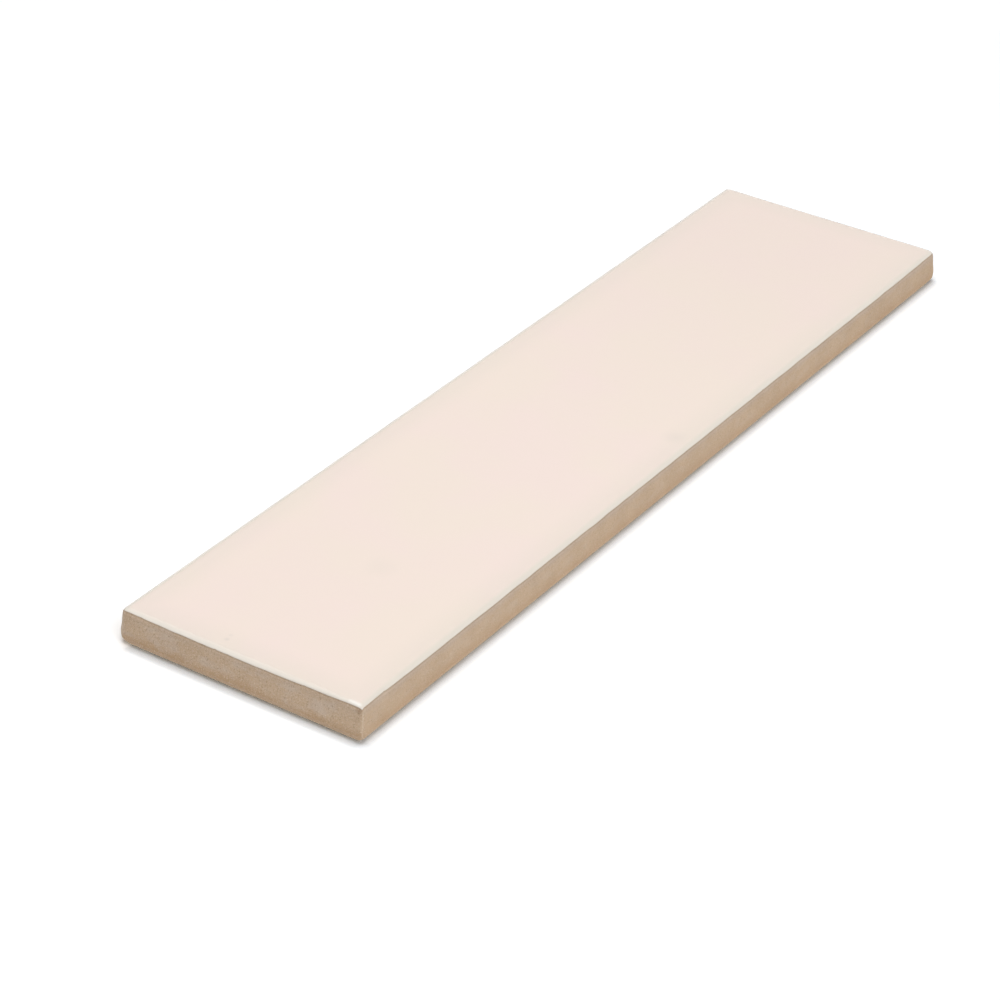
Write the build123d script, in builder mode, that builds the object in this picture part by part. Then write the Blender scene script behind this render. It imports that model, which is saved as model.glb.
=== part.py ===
"""Glazed ceramic subway tile, pressed and fired as one piece, lying on its back with the glazed face up."""

import os
from math import radians, tan

from build123d import *

# Overall size in millimetres, at the widest part of the edge
LENGTH = 300.0
WIDTH = 75.0
THICKNESS = 10.2

# Edge section, read upwards from the back
BEVEL_WIDTH = 1.1  # bevel round the back, measured on the back
BEVEL_HEIGHT = 1.6  # and measured up the edge
BAND_HEIGHT = 2.3  # upright band, which spacers and neighbouring tiles meet
STEP_WIDTH = 0.22  # the band stands this far proud of the edge above it
STEP_HEIGHT = 1.6  # slope from the band to the edge above it
DRAFT_ANGLE = 4.0  # lean of the edge above the slope, in degrees from upright
CUSHION_RADIUS = 2.0  # rounds the glazed face into the edge
CORNER_RADIUS = 1.5  # of the upright corners

# Keyed back, a grid of shallow pockets that the adhesive fills
KEY_MARGIN = 6.0  # from the widest outline to the nearest pockets
KEY_PITCH = 22.0  # wanted distance from one pocket to the next
KEY_RIB = 3.2  # left standing between two pockets
KEY_DEPTH = 0.8
KEY_CORNER_RADIUS = 1.5
KEY_DRAFT_ANGLE = 20.0  # lean of a pocket's walls, in degrees from upright


def pocket_row(side):
    """How many pockets fill one side of the tile, and their distance from centre to centre."""
    room = side - 2 * KEY_MARGIN + KEY_RIB
    count = max(1, round(room / KEY_PITCH))
    return count, room / count


# Levels of the edge, each a height above the back and an inset from the widest outline
band_top = BEVEL_HEIGHT + BAND_HEIGHT
slope_top = band_top + STEP_HEIGHT
draft_inset = (THICKNESS - slope_top) * tan(radians(DRAFT_ANGLE))
edge_levels = [
    (0.0, BEVEL_WIDTH),
    (BEVEL_HEIGHT, 0.0),
    (band_top, 0.0),
    (slope_top, STEP_WIDTH),
    (THICKNESS, STEP_WIDTH + draft_inset),
]

with BuildPart() as tile:
    # Pressed body, straight from one level of the edge to the next and mitred at the corners
    for height, inset in edge_levels:
        with BuildSketch(Plane.XY.offset(height)):
            Rectangle(LENGTH - 2 * inset, WIDTH - 2 * inset)
    loft(ruled=True)

    # Cushion edge, which rounds the glazed face down into the edge
    fillet(tile.edges().group_by(Axis.Z)[-1], radius=CUSHION_RADIUS)

    # Upright corners, rounded alike at every level
    for height, inset in edge_levels:
        with BuildSketch(Plane.XY.offset(height)):
            RectangleRounded(LENGTH - 2 * inset, WIDTH - 2 * inset, CORNER_RADIUS)
    loft(ruled=True, mode=Mode.INTERSECT)

    # Keyed back
    columns, column_pitch = pocket_row(LENGTH)
    rows, row_pitch = pocket_row(WIDTH)
    with BuildSketch():
        with GridLocations(column_pitch, row_pitch, columns, rows):
            RectangleRounded(column_pitch - KEY_RIB, row_pitch - KEY_RIB, KEY_CORNER_RADIUS)
    extrude(amount=KEY_DEPTH, taper=KEY_DRAFT_ANGLE, mode=Mode.SUBTRACT)

tile.part.label = "tile"
os.makedirs("parts", exist_ok=True)
export_step(tile.part, "parts/tile.step")
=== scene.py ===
"""Looks of the glazed subway tile: its fired body and glaze, on a white floor under soft studio light."""

import bisect
import math
import random

import bpy
from mathutils import Matrix, Vector, noise
from mathutils.geometry import delaunay_2d_cdt


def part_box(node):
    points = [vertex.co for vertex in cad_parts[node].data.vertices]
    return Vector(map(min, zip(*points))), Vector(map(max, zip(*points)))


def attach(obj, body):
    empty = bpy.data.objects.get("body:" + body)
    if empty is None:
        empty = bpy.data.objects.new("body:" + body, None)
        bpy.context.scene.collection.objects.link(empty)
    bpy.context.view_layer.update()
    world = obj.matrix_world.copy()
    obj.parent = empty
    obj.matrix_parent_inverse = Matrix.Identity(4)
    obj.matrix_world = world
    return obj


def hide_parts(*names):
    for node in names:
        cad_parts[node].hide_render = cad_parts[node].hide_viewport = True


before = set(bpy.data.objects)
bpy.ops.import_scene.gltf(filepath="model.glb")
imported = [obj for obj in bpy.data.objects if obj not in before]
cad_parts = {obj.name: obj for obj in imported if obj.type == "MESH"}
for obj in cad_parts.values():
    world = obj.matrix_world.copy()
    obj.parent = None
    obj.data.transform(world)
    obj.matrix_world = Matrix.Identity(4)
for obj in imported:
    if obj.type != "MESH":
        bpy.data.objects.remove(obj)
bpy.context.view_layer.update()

# Lengths are in millimetres and angles in radians, unless a comment says otherwise
MM = 0.001

# Size of the tile, from the frame
low, high = (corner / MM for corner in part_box("tile"))
HALF_LENGTH = (high.x - low.x) / 2
HALF_WIDTH = (high.y - low.y) / 2
THICKNESS = high.z

# Edge section, read upwards from the back, as in the solid
BEVEL_WIDTH = 1.1
BEVEL_HEIGHT = 1.6
BAND_TOP = 3.9
SLOPE_TOP = 5.5
STEP_WIDTH = 0.22
DRAFT = math.radians(4)
CUSHION_RADIUS = 2.0

# Upright corners, each at the end of a side, in the order of SIDES
CORNER_RADII = (2.5, 1.6, 1.7, 0.55)
FOOT_CORNER_RADII = (3.4, 2.4, 2.3, 1.4)  # at the back, where they are worn rounder
FOOT_CORNER_HEIGHT = 3.6
GLAZE_CORNER_RADII = (1.9, 1.1, 1.1, 0.25)  # on the glaze
GLAZE_CORNER_BLEND = 0.35

# Keyed back, as in the solid
KEY_MARGIN = 6.0
KEY_RIB = 3.2
KEY_COLUMNS = 13
KEY_ROWS = 3
KEY_DEPTH = 0.8
KEY_CORNER_RADIUS = 1.5
KEY_DRAFT = math.radians(20)

# How far the wear of the pressed edges reaches along the section
BACK_ARRIS = 0.25
BAND_ARRIS = 0.3
SLOPE_BLEND = 0.75
KEY_ARRIS = 0.2

# Where pale wear and painted light show: its share on the band's lower arris, and its place on the turn
# of a corner
ARRIS_WEAR_AND_LIGHT = 0.6
CORNER_WEAR_AND_LIGHT_TURN = math.radians(65)
CORNER_WEAR_AND_LIGHT_POWER = 6  # how closely it keeps to that place

# Glaze: where it ends on the cushion edge, and the bead that it forms there
GLAZE_ANGLE = math.radians(35.5)
GLAZE_BEAD = 0.09
GLAZE_BEAD_FRONT = 0.13
GLAZE_BEAD_RUN = 0.9
GLAZE_BEAD_ROWS = (0.15, 0.5, 1.0, 1.8)  # mesh rows over the bead, as shares of its front
GLAZE_BEAD_WAVE = 0.4  # as a share of the bead's height
GLAZE_BEAD_WAVE_SIZE = 9.0

# How the glaze line strays from an even height, in waves, nicks and a rise towards the corners
LINE_WAVE = 0.12
LINE_WAVE_SIZE = 6.0
LINE_RISE = 0.28
LINE_RISE_RUN = 34.0
LINE_TIP = 1.5  # the corner's tip, where the rise is lost again
LINE_NICK = 0.16
LINE_NICK_SIZE = 1.1
LINE_NICK_START = 0.45  # the noise where a nick begins
LINE_NICK_RANGE = 0.3  # and how much more of it makes the nick full
LINE_BLEND_BELOW = 1.4  # how far along the section the rows below the line stray with it
LINE_BLEND_ABOVE = 1.0  # and the rows above it

# Unevenness of the fired tile, as heights and the sizes of their waves
EDGE_BOW = 0.05
EDGE_BOW_SIZE = 45.0
END_LEAN = 0.45  # how far the near end leans in at its top, towards the near corner
END_LEAN_RUN = 8.0  # how far along the tile the lean reaches
GRAIN = 0.018
GRAIN_SIZE = 1.7
FACE_WAVE = 0.012
FACE_WAVE_SIZE = 22.0

# Chips on the lower arris of the band
CHIP_COUNT = 26
CHIP_RADIUS = (0.5, 1.2)
CHIP_DEPTH = (0.08, 0.22)
CHIP_SEED = 11

# Mesh spacing
FACE_CELL = 1.2
FACE_LAND = 0.5
FACE_RING = 0.9
BACK_LAND = 0.5
ROW_STEP = 0.45
ARC_STEP = math.radians(6)
ARRIS_STEPS = 4
CORNER_STEPS = 8
KEY_CORNER_STEPS = 5

# Bare body: distances from the near end where its own looks set in, and heights where tones fade in
END_LOOKS = (2.0, 1.0)
FOOT_FADE = (6.0, 1.6)
PATCH_FADE = (3.0, 5.5)
TOP_FADE = (7.0, 10.0)
# Heights between which painted shade low on the near end fades in
FOOT_SHADE_FADE = (3.6, 1.2)
# Heights between which pale dust, with painted light low on the bevel, fades in
DUST_AND_LIGHT_FADE = (1.1, 0.3)
DARK_SPECKS = ((0.5, 0.4), (0.28, 0.5))  # sizes and strengths
PALE_GRAINS = ((0.42, 0.4), (0.26, 0.5))
BODY_ROUGHNESS = (0.78, 0.95)
BODY_SPECULAR = 0.25
BODY_PIT_DEPTH = 0.05

# Painted shade below the glaze line and rim tones above it: distances along the section between which
# they fade in
PAINTED_SHADE_WIDE = (-1.9, -0.7)
PAINTED_SHADE_NARROW = (-0.55, -0.05)
RIM_WIDE = (11.0, 1.0)
RIM_NARROW = (2.2, 0.8)

# Looks of the glaze
# Painted shade that darkens the glaze towards the far end
FAR_SHADE_START = -30.0  # place along the tile from where it deepens towards the far end
GLAZE_ROUGHNESS = (0.08, 0.14)
GLAZE_IOR = 1.52
GLAZE_PEEL_DEPTH = 0.006

# Single marks, each a place from the near corner of the face, a radius and a strength
NEAR_CORNER = Vector((-HALF_LENGTH, -HALF_WIDTH, THICKNESS))
PINHOLES = (((5.1, 44.5, 0), 1.1, 0.35), ((7.1, 44.8, 0), 1.0, 0.2))
SMUDGES = (((154.9, 6.5, 0), 5.0, 0.16), ((54.0, 33.0, 0), 6.5, 0.1))
# Painted highlight: white spots in a streak on the glaze at the near corner
PAINTED_HIGHLIGHT_STREAK = (
    ((1.9, 4.7, -0.1), 0.9, 0.5),
    ((1.9, 3.8, -0.1), 1.0, 0.55),
    ((1.85, 2.9, -0.1), 1.0, 0.55),
    ((1.85, 2.0, -0.1), 1.0, 0.6),
)
BROWN_SPOTS = (((0.5, 1.5, -1.2), 1.5, 0.6),)

# Camera, in degrees and metres
AZIMUTH = -57.207
ELEVATION = 31.453
ROLL = 1.835
DISTANCE = 0.8402
AIM = Vector((-0.0509, -0.01077, 0.01027))
LENS = 114.67  # millimetres, like the sensor
SENSOR = 36.0

# Floor, in metres: its reach, and how far it lies below the tile
FLOOR_REACH = 3.0
FLOOR_DROP = 0.00002

# Floor's colours: for the light that it throws back, and as seen in front of the tile and behind it
FLOOR_GREY = (0.92, 0.92, 0.92, 1)
FLOOR_COOL = (1.075, 1.105, 1.135, 1)
FLOOR_WHITE = (1.14, 1.14, 1.14, 1)
BACKDROP = (450.0, 900.0)  # distances from the tile between which a plain backdrop takes over

# Painted shade on the floor at the foot of the tile, with its tones from the closest places, 0, to open
# ones, 1
CONTACT_REACH = 3.3
CONTACT_RAYS = 4
# Tones above 1 are painted light that lifts the deepest places
CONTACT_TONES = ((0.0, 1.4), (0.25, 0.57), (0.5, 0.56), (0.75, 0.88), (1.0, 1.0))
CONTACT_TONES_END = ((0.0, 2.0), (0.25, 0.58), (0.5, 0.545), (0.75, 0.8), (1.0, 1.0))
CONTACT_END = (2.0, 1.5)  # distances from the near end between which its own tones set in
CONTACT_BEHIND = (6.0, 2.0)  # distances from the hidden long side between which the shade is lost

# Light, with lengths in metres
AMBIENT = 0.26
LAMP_DISTANCE = 3.0
LAMP_AIM = Vector((-0.1, 0, 0))


def srgb(red, green, blue):
    """A colour from its 0 to 255 display values."""
    def linear(value):
        value /= 255
        return value / 12.92 if value <= 0.04045 else ((value + 0.055) / 1.055) ** 2.4
    return linear(red), linear(green), linear(blue), 1.0


def smooth(value):
    """Eases a value from 0 to 1."""
    value = min(1.0, max(0.0, value))
    return value * value * (3 - 2 * value)


# Edge section

draft_inset = (THICKNESS - CUSHION_RADIUS - SLOPE_TOP) * math.tan(DRAFT)
ARC_CENTRE = Vector((
    STEP_WIDTH + draft_inset + CUSHION_RADIUS / math.cos(DRAFT),
    THICKNESS - CUSHION_RADIUS,
))


def arc_point(angle):
    """A point (inset, height) of the cushion edge, at an angle up from the horizontal."""
    return ARC_CENTRE + CUSHION_RADIUS * Vector((-math.cos(angle), math.sin(angle)))


def arc_points(start, end):
    """Points along the cushion edge after the start angle, up to and with the end angle."""
    count = max(1, round((end - start) / ARC_STEP))
    return [arc_point(start + (end - start) * i / count) for i in range(1, count + 1)]


def worn_line(corners):
    """Points along straight runs between corners, each corner a place and the reach of its wear."""
    points = [corners[0][0]]
    for index in range(1, len(corners)):
        place, reach = corners[index]
        before = points[-1]
        run_end = place - (place - before).normalized() * reach
        count = max(1, round((run_end - before).length / ROW_STEP))
        points += [before.lerp(run_end, i / count) for i in range(1, count + 1)]
        if reach:
            after = place + (corners[index + 1][0] - place).normalized() * reach
            for step in range(1, ARRIS_STEPS + 1):
                t = step / ARRIS_STEPS
                points.append(run_end.lerp(place, t).lerp(place.lerp(after, t), t))
    return points


bare_points = worn_line([
    (Vector((BEVEL_WIDTH + BACK_LAND, 0)), 0),
    (Vector((BEVEL_WIDTH, 0)), BACK_ARRIS),
    (Vector((0, BEVEL_HEIGHT)), BAND_ARRIS),
    (Vector((0, BAND_TOP)), SLOPE_BLEND),
    (Vector((STEP_WIDTH, SLOPE_TOP)), SLOPE_BLEND),
    (arc_point(DRAFT), 0),
]) + arc_points(DRAFT, GLAZE_ANGLE)
bead_runs = [GLAZE_BEAD_FRONT * share for share in GLAZE_BEAD_ROWS]
bead_points = [arc_point(GLAZE_ANGLE + run / CUSHION_RADIUS) for run in bead_runs]
face_point = arc_point(math.pi / 2) + Vector((FACE_LAND, 0))
section = bare_points + bead_points
section += arc_points(GLAZE_ANGLE + bead_runs[-1] / CUSHION_RADIUS, math.pi / 2) + [face_point]
section_runs = [0.0]
for here, there in zip(section, section[1:]):
    section_runs.append(section_runs[-1] + (there - here).length)
GLAZE_ROW = len(bare_points) - 1
GLAZE_RUN = section_runs[GLAZE_ROW]


def section_at(run):
    """Place and outward direction (inset, height) at a distance along the section."""
    index = bisect.bisect_right(section_runs, run) - 1
    index = min(max(index, 0), len(section) - 2)
    share = (run - section_runs[index]) / (section_runs[index + 1] - section_runs[index])
    behind = section[index + 1] - section[max(index - 1, 0)]
    ahead = section[min(index + 2, len(section) - 1)] - section[index]
    along = behind.normalized().lerp(ahead.normalized(), share).normalized()
    return section[index].lerp(section[index + 1], share), Vector((-along.y, along.x))


def corner_radii(place):
    """Radii of the four corners at a place of the section: rounder at the back, sharper on the glaze."""
    inward = max(0.0, place.x - arc_point(DRAFT).x) if place.y > ARC_CENTRE.y else 0.0
    glazed = smooth(inward / GLAZE_CORNER_BLEND)
    worn = smooth(1 - place.y / FOOT_CORNER_HEIGHT)
    sets = zip(CORNER_RADII, FOOT_CORNER_RADII, GLAZE_CORNER_RADII)
    return [body + (foot - body) * worn + (tip - body) * glazed for body, foot, tip in sets]


# Outline, as columns that the section is swept along

face_inset = face_point.x + FACE_RING
CELLS_ALONG = round(2 * (HALF_LENGTH - face_inset) / FACE_CELL)
CELLS_ACROSS = round(2 * (HALF_WIDTH - face_inset) / FACE_CELL)
SIDES = [
    (Vector((1, 0)), Vector((0, -1)), HALF_LENGTH, HALF_WIDTH, CELLS_ALONG),
    (Vector((0, 1)), Vector((1, 0)), HALF_WIDTH, HALF_LENGTH, CELLS_ACROSS),
    (Vector((-1, 0)), Vector((0, 1)), HALF_LENGTH, HALF_WIDTH, CELLS_ALONG),
    (Vector((0, -1)), Vector((-1, 0)), HALF_WIDTH, HALF_LENGTH, CELLS_ACROSS),
]


def outline_columns():
    """The outline's columns, each a side, a share of the way along it and a turn round its end corner."""
    found = []
    for side, (_, _, _, _, cells) in enumerate(SIDES):
        found += [(side, i / (2 * cells), 0.0) for i in range(2 * cells + 1)]
        found += [(side, 1.0, math.pi / 2 * i / CORNER_STEPS) for i in range(1, CORNER_STEPS)]
    return found


def column_at(column, inset, radii):
    """Place and outward direction of a column in plan, at an inset and with four corner radii."""
    side, share, turn = column
    along, out, half_run, half_depth, _ = SIDES[side]
    facing = math.cos(turn) * out + math.sin(turn) * along
    start = inset + radii[side - 1] - half_run
    end = half_run - inset - radii[side]
    centre = along * (start + (end - start) * share) + out * (half_depth - inset - radii[side])
    return centre + facing * radii[side], facing


# Unevenness of the surface

def wave(place, size, height):
    """Soft noise at a place in space, with waves of about a size and a height."""
    return height * noise.noise(place / size)


def face_wave(place):
    """Height of the glazed face's faint waves."""
    return wave(place, FACE_WAVE_SIZE, FACE_WAVE)


def bead(run, place):
    """How far the glaze's edge stands proud at a distance past the glaze line."""
    rise = math.sqrt(min(1.0, max(0.0, run) / GLAZE_BEAD_FRONT))
    fall = 1 - smooth((run - GLAZE_BEAD_FRONT) / GLAZE_BEAD_RUN)
    return GLAZE_BEAD * rise * fall * (1 + wave(place, GLAZE_BEAD_WAVE_SIZE, GLAZE_BEAD_WAVE))


def line_shift(place):
    """How far the glaze line strays along the section at a place of the outline."""
    nick = smooth((noise.noise(place / LINE_NICK_SIZE) - LINE_NICK_START) / LINE_NICK_RANGE)
    from_corner = max(HALF_LENGTH - abs(place.x), HALF_WIDTH - abs(place.y))
    rise = max(0.0, 1 - from_corner / LINE_RISE_RUN) ** 2 * smooth(from_corner / LINE_TIP)
    return wave(place, LINE_WAVE_SIZE, LINE_WAVE) + LINE_NICK * nick + LINE_RISE * rise


def shift_share(run):
    """Share of the glaze line's stray that a row of the section takes."""
    if run < GLAZE_RUN:
        return smooth(1 - (GLAZE_RUN - run) / LINE_BLEND_BELOW)
    return smooth(1 - (run - GLAZE_RUN) / LINE_BLEND_ABOVE)


def end_lean(place):
    """How far a place of the edge is moved inwards along the length by the lean of the near end."""
    towards_corner = smooth(-place.y / HALF_WIDTH)
    near_end = smooth((-place.x - HALF_LENGTH) / END_LEAN_RUN + 1)
    upwards = smooth((place.z - BEVEL_HEIGHT) / (ARC_CENTRE.y - BEVEL_HEIGHT))
    return END_LEAN * towards_corner * near_end * upwards


def make_chips():
    """Chips on the band's lower arris, each a place in space, a radius and a depth."""
    draw = random.Random(CHIP_SEED)
    made = []
    for _ in range(CHIP_COUNT):
        side = draw.choices(range(len(SIDES)), weights=[part[2] for part in SIDES])[0]
        plan, _ = column_at((side, draw.random(), 0.0), 0.0, CORNER_RADII)
        place = plan.to_3d() + Vector((0, 0, BEVEL_HEIGHT))
        made.append((place, draw.uniform(*CHIP_RADIUS), draw.uniform(*CHIP_DEPTH)))
    return made


chips = make_chips()


def chip_depth(place):
    """Depth of the chips at a place in space."""
    depth = 0.0
    for centre, radius, painted_far_shade in chips:
        if abs(place.x - centre.x) < radius and abs(place.y - centre.y) < radius:
            depth += painted_far_shade * smooth(1 - (place - centre).length / radius)
    return depth


# Mesh of the tile

BARE, GLAZED = 0, 1
vertices = []
edge_runs = []
worn_and_lit_shares = []
faces = []
face_materials = []
face_smooth = []


def add_vertex(place, edge_run, worn_and_lit=0.0):
    """Adds a vertex, its distance from the glaze line and its share of pale wear and painted light, and
    returns its number.
    """
    vertices.append(place * MM)
    edge_runs.append(edge_run)
    worn_and_lit_shares.append(worn_and_lit)
    return len(vertices) - 1


def add_face(corners, material, is_smooth=True):
    """Adds a face from the numbers of its vertices."""
    faces.append(tuple(corners))
    face_materials.append(material)
    face_smooth.append(is_smooth)


def edge_vertex(column, run):
    """Adds the vertex of a column at a distance along the section, with its unevenness."""
    base, _ = column_at(column, 0.0, CORNER_RADII)
    point, out = section_at(run + line_shift(base.to_3d()) * shift_share(run))
    plan, facing = column_at(column, point.x, corner_radii(point))
    facing = facing.to_3d()
    place = plan.to_3d() + Vector((0, 0, point.y))
    outward = facing * -out.x + Vector((0, 0, out.y))
    lift = smooth((point.y - BEVEL_HEIGHT / 2) / BEVEL_HEIGHT)
    move = facing * wave(plan.to_3d(), EDGE_BOW_SIZE, EDGE_BOW) * lift
    move.x += end_lean(place) * smooth((1 - out.y) / (1 - math.sin(GLAZE_ANGLE)))
    if run < GLAZE_RUN:
        grain = wave(place, GRAIN_SIZE, GRAIN) * smooth(point.y / BACK_ARRIS)
        move += outward * (grain - chip_depth(place))
    else:
        move += outward * bead(run - GLAZE_RUN, place)
        move.z += face_wave(place) * smooth(out.y)
    # Pale wear, with painted light, on the band's lower arris and on the turn of a corner
    on_arris = ARRIS_WEAR_AND_LIGHT * math.exp(-((point.y - BEVEL_HEIGHT) / BAND_ARRIS) ** 2)
    on_corner = max(0.0, math.cos(2 * (column[2] - CORNER_WEAR_AND_LIGHT_TURN))) ** CORNER_WEAR_AND_LIGHT_POWER
    return add_vertex(place + move, run - GLAZE_RUN, max(on_arris, on_corner))


def add_edge(columns):
    """Adds the swept edge, and returns its rows of vertices from the back to the face."""
    rows = [[edge_vertex(column, run) for column in columns] for run in section_runs]
    count = len(columns)
    for row, (lower, upper) in enumerate(zip(rows, rows[1:])):
        material = GLAZED if row >= GLAZE_ROW else BARE
        for i in range(count):
            j = (i + 1) % count
            add_face((lower[i], lower[j], upper[j], upper[i]), material)
    return rows


def add_glazed_face(rim):
    """Adds the glazed face inside its rim, as a grid of cells twice as wide as the rim's."""
    reach_x = HALF_LENGTH - face_inset
    reach_y = HALF_WIDTH - face_inset
    rim_run = section_runs[-1] - GLAZE_RUN
    grid = []
    for j in range(CELLS_ACROSS + 1):
        y = reach_y * (2 * j / CELLS_ACROSS - 1)
        row = []
        for i in range(CELLS_ALONG + 1):
            x = reach_x * (2 * i / CELLS_ALONG - 1)
            place = Vector((x, y, THICKNESS))
            inside = min(reach_x - abs(x), reach_y - abs(y)) + FACE_RING
            place.z += face_wave(place)
            row.append(add_vertex(place, rim_run + inside))
        grid.append(row)
    for near, far in zip(grid, grid[1:]):
        for i in range(CELLS_ALONG):
            add_face((near[i], near[i + 1], far[i + 1], far[i]), GLAZED)

    # Ring between the rim and the grid, with a fan at each corner
    borders = [grid[0], [row[-1] for row in grid], grid[-1][::-1], [row[0] for row in grid][::-1]]
    start = 0
    for border in borders:
        for i in range(len(border) - 1):
            first, middle, last = (rim[start + step] for step in range(3))
            add_face((first, middle, last, border[i + 1], border[i]), GLAZED)
            start += 2
        for _ in range(CORNER_STEPS):
            add_face((rim[start], rim[(start + 1) % len(rim)], border[-1]), GLAZED)
            start += 1


def pocket_outline(centre, half_x, half_y, radius):
    """Points round a pocket with rounded corners, anticlockwise from above."""
    points = []
    for quarter, (sign_x, sign_y) in enumerate(((1, 1), (-1, 1), (-1, -1), (1, -1))):
        middle = centre + Vector((sign_x * (half_x - radius), sign_y * (half_y - radius)))
        for step in range(KEY_CORNER_STEPS + 1):
            angle = math.pi / 2 * (quarter + step / KEY_CORNER_STEPS)
            points.append(middle + radius * Vector((math.cos(angle), math.sin(angle))))
    return points


def add_pocket(centre, half_x, half_y):
    """Adds a pocket with leaning walls and worn arrises, and returns the ring of its mouth."""
    lean = math.tan(KEY_DRAFT)
    levels = [
        (-KEY_ARRIS / 2, 0.0),
        (KEY_ARRIS * lean / 3, KEY_ARRIS / 3),
        (KEY_ARRIS * lean, KEY_ARRIS),
        ((KEY_DEPTH - KEY_ARRIS) * lean, KEY_DEPTH - KEY_ARRIS),
        ((KEY_DEPTH - KEY_ARRIS / 3) * lean + KEY_ARRIS / 4, KEY_DEPTH - KEY_ARRIS / 3),
        (KEY_DEPTH * lean + KEY_ARRIS, KEY_DEPTH),
    ]
    rings = []
    for inset, height in levels:
        ring = pocket_outline(centre, half_x - inset, half_y - inset, KEY_CORNER_RADIUS - inset)
        rings.append([add_vertex(point.to_3d() + Vector((0, 0, height)), -GLAZE_RUN) for point in ring])
    count = len(rings[0])
    for outer, inner in zip(rings, rings[1:]):
        for i in range(count):
            j = (i + 1) % count
            add_face((outer[i], inner[i], inner[j], outer[j]), BARE)
    add_face(reversed(rings[-1]), BARE, False)
    return rings[0]


def add_back(rim):
    """Adds the keyed back inside its rim: pockets, and the flat ribs between them."""
    pitch_x = (2 * (HALF_LENGTH - KEY_MARGIN) + KEY_RIB) / KEY_COLUMNS
    pitch_y = (2 * (HALF_WIDTH - KEY_MARGIN) + KEY_RIB) / KEY_ROWS
    mouths = []
    for row in range(KEY_ROWS):
        y = (row - (KEY_ROWS - 1) / 2) * pitch_y
        for column in range(KEY_COLUMNS):
            x = (column - (KEY_COLUMNS - 1) / 2) * pitch_x
            mouths.append(add_pocket(Vector((x, y)), (pitch_x - KEY_RIB) / 2, (pitch_y - KEY_RIB) / 2))
    numbers = []
    loops = []
    for ring in [rim] + mouths:
        loops.append(list(range(len(numbers), len(numbers) + len(ring))))
        numbers += ring
    plan = [vertices[number].to_2d() / MM for number in numbers]
    inside_loops = 1
    tolerance = 1e-6
    _, _, triangles, sources, _, parents = delaunay_2d_cdt(plan, [], loops, inside_loops, tolerance)
    for triangle, parent in zip(triangles, parents):
        if parent == [0]:
            add_face([numbers[sources[corner][0]] for corner in reversed(triangle)], BARE, False)


def make_tile():
    """Makes the tile's mesh object, in the frame's place and units."""
    rows = add_edge(outline_columns())
    add_glazed_face(rows[-1])
    add_back(rows[0])
    mesh = bpy.data.meshes.new("glazed_tile")
    mesh.from_pydata(vertices, [], faces)
    mesh.polygons.foreach_set("material_index", face_materials)
    mesh.polygons.foreach_set("use_smooth", face_smooth)
    mesh.attributes.new("edge_run", "FLOAT", "POINT").data.foreach_set("value", edge_runs)
    mesh.attributes.new("worn_and_lit", "FLOAT", "POINT").data.foreach_set("value", worn_and_lit_shares)
    mesh.update()
    mesh.validate()
    piece = bpy.data.objects.new("glazed_tile", mesh)
    bpy.context.scene.collection.objects.link(piece)
    return piece


# Materials

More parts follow.
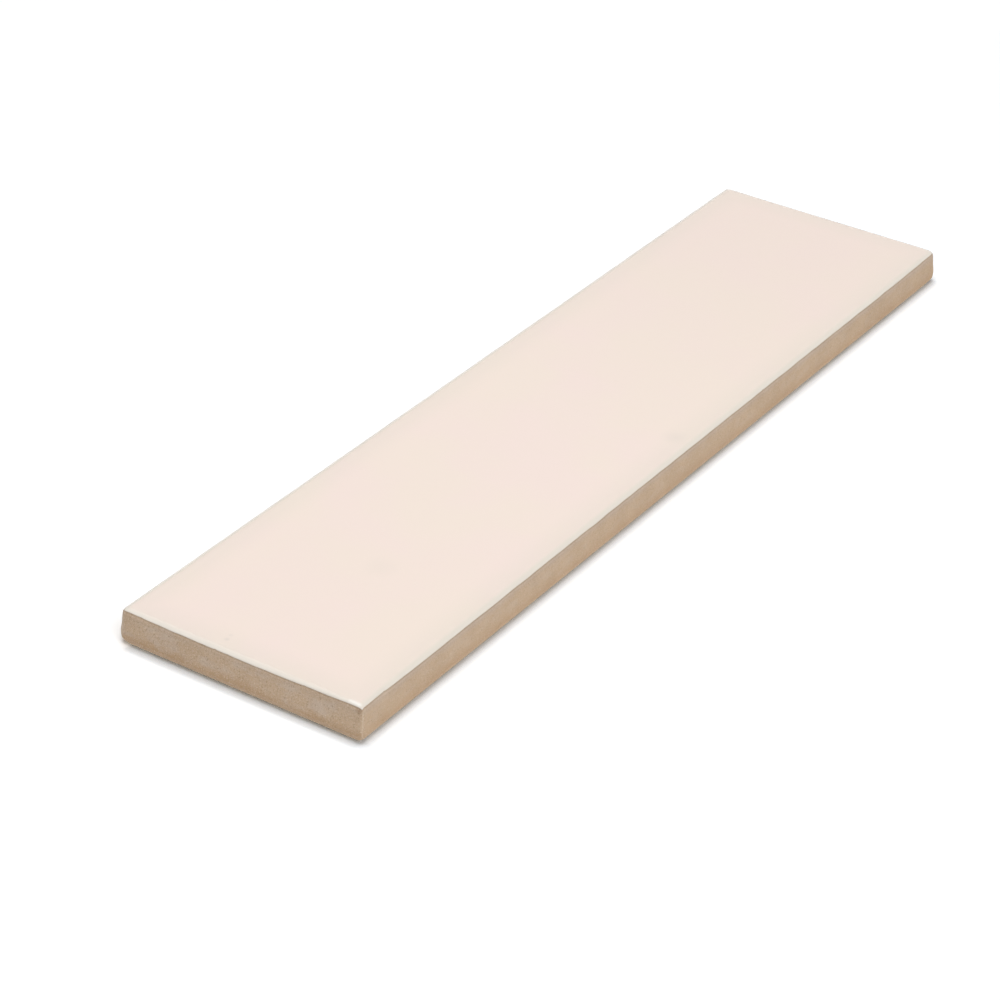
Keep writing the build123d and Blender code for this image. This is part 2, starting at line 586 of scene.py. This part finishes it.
class Shader:
    """A material's nodes, with short ways to add the ones that these surfaces need."""

    def __init__(self, name):
        self.material = bpy.data.materials.new(name)
        self.material.use_nodes = True
        self.tree = self.material.node_tree
        self.surface = self.tree.nodes["Principled BSDF"]
        place = self.add("ShaderNodeTexCoord").outputs["Object"]
        scaled = self.add("ShaderNodeVectorMath", operation="SCALE", Vector=place, Scale=1 / MM)
        self.place = scaled.outputs["Vector"]

    def add(self, kind, **settings):
        """Adds a node. A setting is a property of it, or a value or link for the input of that name."""
        node = self.tree.nodes.new(kind)
        for key, value in settings.items():
            if hasattr(node, key):
                setattr(node, key, value)
        for key, value in settings.items():
            if not hasattr(node, key):
                self.set(node, key.replace("_", " "), value)
        return node

    def set(self, node, name, value):
        """Sets or links an input, the enabled one where several share its name."""
        self.fill(next(s for s in node.inputs if s.name == name and s.enabled), value)

    def fill(self, socket, value):
        """Links an input to the output that is given, or sets it to a plain value."""
        if isinstance(value, bpy.types.NodeSocket):
            self.tree.links.new(value, socket)
        else:
            socket.default_value = value

    def attribute(self, name):
        """A value that the mesh holds for each vertex."""
        return self.add("ShaderNodeAttribute", attribute_name=name).outputs["Fac"]

    def length(self):
        """Place along the tile, from its middle towards the far end."""
        return self.add("ShaderNodeSeparateXYZ", Vector=self.place).outputs["X"]

    def width(self):
        """Place across the tile, from its middle towards the hidden long side."""
        return self.add("ShaderNodeSeparateXYZ", Vector=self.place).outputs["Y"]

    def height(self):
        """Height above the plane of the back."""
        return self.add("ShaderNodeSeparateXYZ", Vector=self.place).outputs["Z"]

    def near_end(self, start, full):
        """Eases from 0 to 1 towards the near end, between two distances from it."""
        return self.spread(self.length(), start - HALF_LENGTH, full - HALF_LENGTH)

    def spread(self, value, start=0.0, end=1.0, low=0.0, high=1.0):
        """Eases a value between start and end into the range from low to high."""
        node = self.add(
            "ShaderNodeMapRange", interpolation_type="SMOOTHSTEP", Value=value,
            From_Min=start, From_Max=end, To_Min=low, To_Max=high,
        )
        return node.outputs["Result"]

    def noise(self, size, start=0.35, end=0.65, detail=3.0, stretch=(1, 1, 1)):
        """Noise from 0 to 1 with patches of about a size, stretched along the axes."""
        place = self.add("ShaderNodeVectorMath", operation="DIVIDE", Vector=self.place).outputs["Vector"]
        place.node.inputs[1].default_value = [size * share for share in stretch]
        node = self.add("ShaderNodeTexNoise", Vector=place, Scale=1.0, Detail=detail)
        return self.spread(node.outputs["Fac"], start, end)

    def ramp(self, value, tones):
        """Grey tones at given values, and blends of them in between. A tone may be above 1."""
        node = self.add("ShaderNodeValToRGB", Fac=value)
        stops = node.color_ramp.elements
        highest = max(tone for _, tone in tones)
        for position, _ in tones[1:-1]:
            stops.new(position)
        for stop, (position, tone) in zip(stops, tones):
            stop.position = position
            stop.color = (tone / highest, tone / highest, tone / highest, 1)
        return self.calculate("MULTIPLY", node.outputs["Color"], highest)

    def calculate(self, operation, first, second):
        """Result of a sum or the like with two numbers, each a value or a link."""
        node = self.add("ShaderNodeMath", operation=operation)
        for socket, value in zip(node.inputs, (first, second)):
            self.fill(socket, value)
        return node.outputs["Value"]

    def mix(self, factor, first, second):
        """Mixes two colours by a factor."""
        return self.add("ShaderNodeMix", data_type="RGBA", Factor=factor, A=first, B=second).outputs[2]

    def mark(self, colour, tone, marks):
        """Mixes a tone into a colour in soft round marks, strongest in their middles."""
        for offset, radius, strength in marks:
            node = self.add("ShaderNodeVectorMath", operation="DISTANCE", Vector=self.place)
            node.inputs[1].default_value = NEAR_CORNER + Vector(offset)
            spot = self.spread(node.outputs["Value"], radius, 0.0)
            colour = self.mix(self.calculate("MULTIPLY", spot, strength), colour, tone)
        return colour

    def bump(self, height, depth, below=None):
        """Bump of a depth, over another one where given."""
        node = self.add("ShaderNodeBump", Strength=1.0, Distance=depth * MM, Height=height)
        if below:
            self.set(node, "Normal", below)
        return node.outputs["Normal"]


def bare_body():
    """Fired clay body: tan, matt and speckled, with ashen patches, a russet foot and a dusty back."""
    shader = Shader("bare_body")
    clay = srgb(208, 182, 154)
    ashen = srgb(213, 196, 181)
    russet = srgb(200, 168, 134)
    pale = srgb(234, 219, 201)
    dark = srgb(152, 122, 94)
    painted_shade = srgb(148, 121, 98)
    brown = srgb(142, 105, 74)
    dust_and_painted_light = srgb(250, 230, 204)
    near_end = shader.near_end(*END_LOOKS)

    def by_end(elsewhere, at_end):
        """A value that the near end has for itself, and another for the other sides."""
        return shader.spread(near_end, low=elsewhere, high=at_end)

    # Russet foot that fades upwards, at an uneven height
    stray = shader.calculate("MULTIPLY", shader.noise(6.0), by_end(0.7, 1.5))
    height = shader.calculate("ADD", shader.height(), stray)
    foot = shader.calculate("MULTIPLY", shader.spread(height, *FOOT_FADE), by_end(0.75, 1.0))
    colour = shader.mix(foot, clay, russet)

    # Ashen patches over it where slip was wiped off, and an ashen top
    patch = shader.noise(3.4, start=0.42, end=0.7, detail=5.0, stretch=(1.6, 1.6, 0.8))
    patch = shader.calculate("MULTIPLY", patch, shader.spread(height, *PATCH_FADE))
    patch = shader.calculate("MULTIPLY", patch, by_end(0.35, 0.85))
    top = shader.calculate("MULTIPLY", shader.spread(height, *TOP_FADE), by_end(0.9, 0.3))
    patch = shader.calculate("MAXIMUM", patch, top)
    colour = shader.mix(shader.calculate("MULTIPLY", patch, 0.75), colour, ashen)

    # Cloudiness, and painted shade low on the near end, towards the foot
    colour = shader.mix(shader.calculate("MULTIPLY", shader.noise(9.0), 0.11), colour, dark)
    painted_foot_shade = shader.spread(shader.height(), *FOOT_SHADE_FADE, low=0.05, high=0.22)
    colour = shader.mix(shader.calculate("MULTIPLY", painted_foot_shade, near_end), colour, dark)

    # Dark specks and pale grains of the pressed clay
    coarse = by_end(0.6, 1.25)
    for tone, kinds in ((dark, DARK_SPECKS), (pale, PALE_GRAINS)):
        for size, strength in kinds:
            speck = shader.noise(size, start=0.56, end=0.74, detail=2.0)
            speck = shader.calculate("MULTIPLY", speck, strength)
            colour = shader.mix(shader.calculate("MULTIPLY", speck, coarse), colour, tone)

    # Arrises worn pale, with painted light where they catch it, and painted shade right under the glaze
    worn_and_lit = shader.calculate("MULTIPLY", shader.attribute("worn_and_lit"), shader.noise(1.5, start=0.25, end=0.5))
    colour = shader.mix(shader.calculate("MULTIPLY", worn_and_lit, 0.38), colour, pale)
    run = shader.attribute("edge_run")
    colour = shader.mix(shader.spread(run, *PAINTED_SHADE_WIDE, high=0.12), colour, painted_shade)
    colour = shader.mix(shader.spread(run, *PAINTED_SHADE_NARROW, high=0.38), colour, painted_shade)

    # Pale dust on the back and low on its bevel, there also painted light that lifts the shade at the
    # foot, and a brown spot under the near corner's glaze
    dusty_and_lit = shader.calculate("MULTIPLY", shader.spread(shader.height(), *DUST_AND_LIGHT_FADE), by_end(0.8, 1.0))
    colour = shader.mix(dusty_and_lit, colour, dust_and_painted_light)
    colour = shader.mark(colour, brown, BROWN_SPOTS)

    least, most = BODY_ROUGHNESS
    shader.set(shader.surface, "Base Color", colour)
    shader.set(shader.surface, "Roughness", shader.spread(shader.noise(1.2), low=least, high=most))
    shader.set(shader.surface, "Specular IOR Level", BODY_SPECULAR)
    pitted = shader.bump(shader.noise(0.35, start=0.2, end=0.8, detail=4.0), BODY_PIT_DEPTH)
    holes = shader.noise(0.9, start=0.6, end=0.3, detail=2.0)
    shader.set(shader.surface, "Normal", shader.bump(holes, BODY_PIT_DEPTH, below=pitted))
    return shader.material


def glaze():
    """Gloss glaze: ivory with a blush of pink that fades towards the edge, faintly wavy and marked."""
    shader = Shader("glaze")
    blush = srgb(248, 229, 220)
    ivory = srgb(247, 231, 218)
    rim = srgb(233, 223, 209)
    smudge = srgb(214, 204, 196)
    thin = srgb(227, 219, 207)
    painted_highlight = srgb(255, 252, 246)
    painted_far_shade = srgb(238, 220, 208)

    # Soft patches of blush, painted shade that darkens them towards the far end, and less blush towards
    # the edge
    colour = shader.mix(shader.noise(26.0, start=0.3, end=0.7, detail=2.0), blush, ivory)
    colour = shader.mix(shader.spread(shader.length(), FAR_SHADE_START, HALF_LENGTH, high=0.4), colour, painted_far_shade)
    run = shader.attribute("edge_run")
    colour = shader.mix(shader.spread(run, *RIM_WIDE, high=0.4), colour, rim)
    colour = shader.mix(shader.spread(run, *RIM_NARROW, high=0.9), colour, thin)

    # Pinholes and smudges, and a painted highlight: a white streak at the near corner
    colour = shader.mark(colour, smudge, PINHOLES + SMUDGES)
    colour = shader.mark(colour, painted_highlight, PAINTED_HIGHLIGHT_STREAK)

    least, most = GLAZE_ROUGHNESS
    shader.set(shader.surface, "Base Color", colour)
    shader.set(shader.surface, "Roughness", shader.spread(shader.noise(7.0), low=least, high=most))
    shader.set(shader.surface, "IOR", GLAZE_IOR)
    peel = shader.noise(2.4, start=0.2, end=0.8, detail=2.0)
    shader.set(shader.surface, "Normal", shader.bump(peel, GLAZE_PEEL_DEPTH))
    return shader.material


# Stage

def seen_directly(tree):
    """1 for rays that show the background: from the camera, or off or through a clear surface."""
    path = tree.nodes.new("ShaderNodeLightPath")
    value = path.outputs["Is Camera Ray"]
    for name in ("Is Glossy Ray", "Is Transmission Ray"):
        node = tree.nodes.new("ShaderNodeMath")
        node.operation = "MAXIMUM"
        tree.links.new(value, node.inputs[0])
        tree.links.new(path.outputs[name], node.inputs[1])
        value = node.outputs["Value"]
    return value


def make_floor():
    """White floor, shaded at the foot of the tile, that turns into a plain backdrop far off."""
    corners = [(-1, -1), (1, -1), (1, 1), (-1, 1)]
    mesh = bpy.data.meshes.new("floor")
    places = [(x * FLOOR_REACH, y * FLOOR_REACH, -FLOOR_DROP) for x, y in corners]
    mesh.from_pydata(places, [], [range(len(places))])
    floor = bpy.data.objects.new("floor", mesh)
    bpy.context.scene.collection.objects.link(floor)
    shader = Shader("floor")
    seen = seen_directly(shader.tree)

    # Painted shade at the foot, with tones of its own at the near end and lost behind the tile; tones
    # above 1 paint light into the deepest places
    looked_for = CONTACT_REACH * MM
    node = shader.add("ShaderNodeAmbientOcclusion", samples=CONTACT_RAYS, Distance=looked_for)
    near = node.outputs["AO"]
    at_end = shader.near_end(*CONTACT_END)
    behind = shader.spread(shader.width(), *(HALF_WIDTH - distance for distance in CONTACT_BEHIND))
    tone = shader.mix(at_end, shader.ramp(near, CONTACT_TONES), shader.ramp(near, CONTACT_TONES_END))
    tone = shader.calculate("MAXIMUM", tone, behind)
    white = shader.mix(behind, FLOOR_COOL, FLOOR_WHITE)
    white = shader.add("ShaderNodeVectorMath", operation="SCALE", Vector=white, Scale=tone)
    colour = shader.mix(seen, FLOOR_GREY, white.outputs["Vector"])
    diffuse = shader.add("ShaderNodeBsdfDiffuse", Color=colour)

    # Backdrop, which keeps the far floor as white as the surroundings
    away = shader.add("ShaderNodeVectorMath", operation="LENGTH", Vector=shader.place).outputs["Value"]
    far_off = shader.calculate("MULTIPLY", shader.spread(away, *BACKDROP), seen)
    backdrop = shader.add("ShaderNodeEmission")
    surface = shader.add("ShaderNodeMixShader", Fac=far_off)
    for part, socket in zip((diffuse, backdrop), surface.inputs[1:]):
        shader.fill(socket, part.outputs[0])
    shader.set(shader.tree.nodes["Material Output"], "Surface", surface.outputs[0])
    shader.tree.nodes.remove(shader.surface)
    mesh.materials.append(shader.material)


def make_world():
    """Surroundings that show white and light the tile at an ambient level."""
    world = bpy.data.worlds.new("studio")
    bpy.context.scene.world = world
    world.use_nodes = True
    tree = world.node_tree
    background = tree.nodes["Background"]
    background.inputs["Color"].default_value = (1, 1, 1, 1)
    spread = tree.nodes.new("ShaderNodeMapRange")
    spread.inputs["To Min"].default_value = AMBIENT
    tree.links.new(seen_directly(tree), spread.inputs["Value"])
    tree.links.new(spread.outputs["Result"], background.inputs["Strength"])


def direction(azimuth, elevation):
    """Direction from the tile towards a place at an azimuth and elevation in degrees."""
    a, e = math.radians(azimuth), math.radians(elevation)
    return Vector((math.sin(a) * math.cos(e), -math.cos(a) * math.cos(e), math.sin(e)))


def make_softbox(name, azimuth, elevation, spread, share, lights=True, shines=True):
    """Square soft lamp, of a spread in degrees from the tile, that gives a share of the floor's light.

    One that lights nothing only shows as a highlight on gloss. One that doesn't shine shows in none.
    """
    data = bpy.data.lights.new(name, "AREA")
    data.size = 2 * LAMP_DISTANCE * math.tan(math.radians(spread / 2))
    towards = direction(azimuth, elevation)
    data.energy = share * (math.pi * LAMP_DISTANCE) ** 2 / towards.z
    lamp = bpy.data.objects.new(name, data)
    bpy.context.scene.collection.objects.link(lamp)
    lamp.location = LAMP_AIM + towards * LAMP_DISTANCE
    lamp.rotation_euler = towards.to_track_quat("Z", "Y").to_euler()
    lamp.visible_diffuse = lights
    lamp.visible_glossy = shines


def make_camera():
    """Camera at the photograph's viewing angle."""
    camera = bpy.data.objects.new("camera", bpy.data.cameras.new("camera"))
    bpy.context.scene.collection.objects.link(camera)
    back = direction(AZIMUTH, ELEVATION)
    level = (-back).cross(Vector((0, 0, 1))).normalized()
    rise = back.cross(level)
    roll = math.radians(ROLL)
    right = math.cos(roll) * level + math.sin(roll) * rise
    up = math.cos(roll) * rise - math.sin(roll) * level
    turn = Matrix((right, up, back)).transposed().to_4x4()
    camera.matrix_world = Matrix.Translation(AIM + back * DISTANCE) @ turn
    camera.data.lens = LENS
    camera.data.sensor_width = SENSOR
    bpy.context.scene.camera = camera


tile = make_tile()
tile.data.materials.append(bare_body())
tile.data.materials.append(glaze())
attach(tile, "root")
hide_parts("tile")

make_floor()
make_world()
make_softbox("overhead", azimuth=105, elevation=86, spread=34, share=0.5, shines=False)
make_softbox("fill", azimuth=-28, elevation=50, spread=34, share=0.3)
make_softbox("highlight", azimuth=180, elevation=62, spread=56, share=0.45, lights=False)
make_camera()
bpy.context.scene.view_settings.view_transform = "Standard"
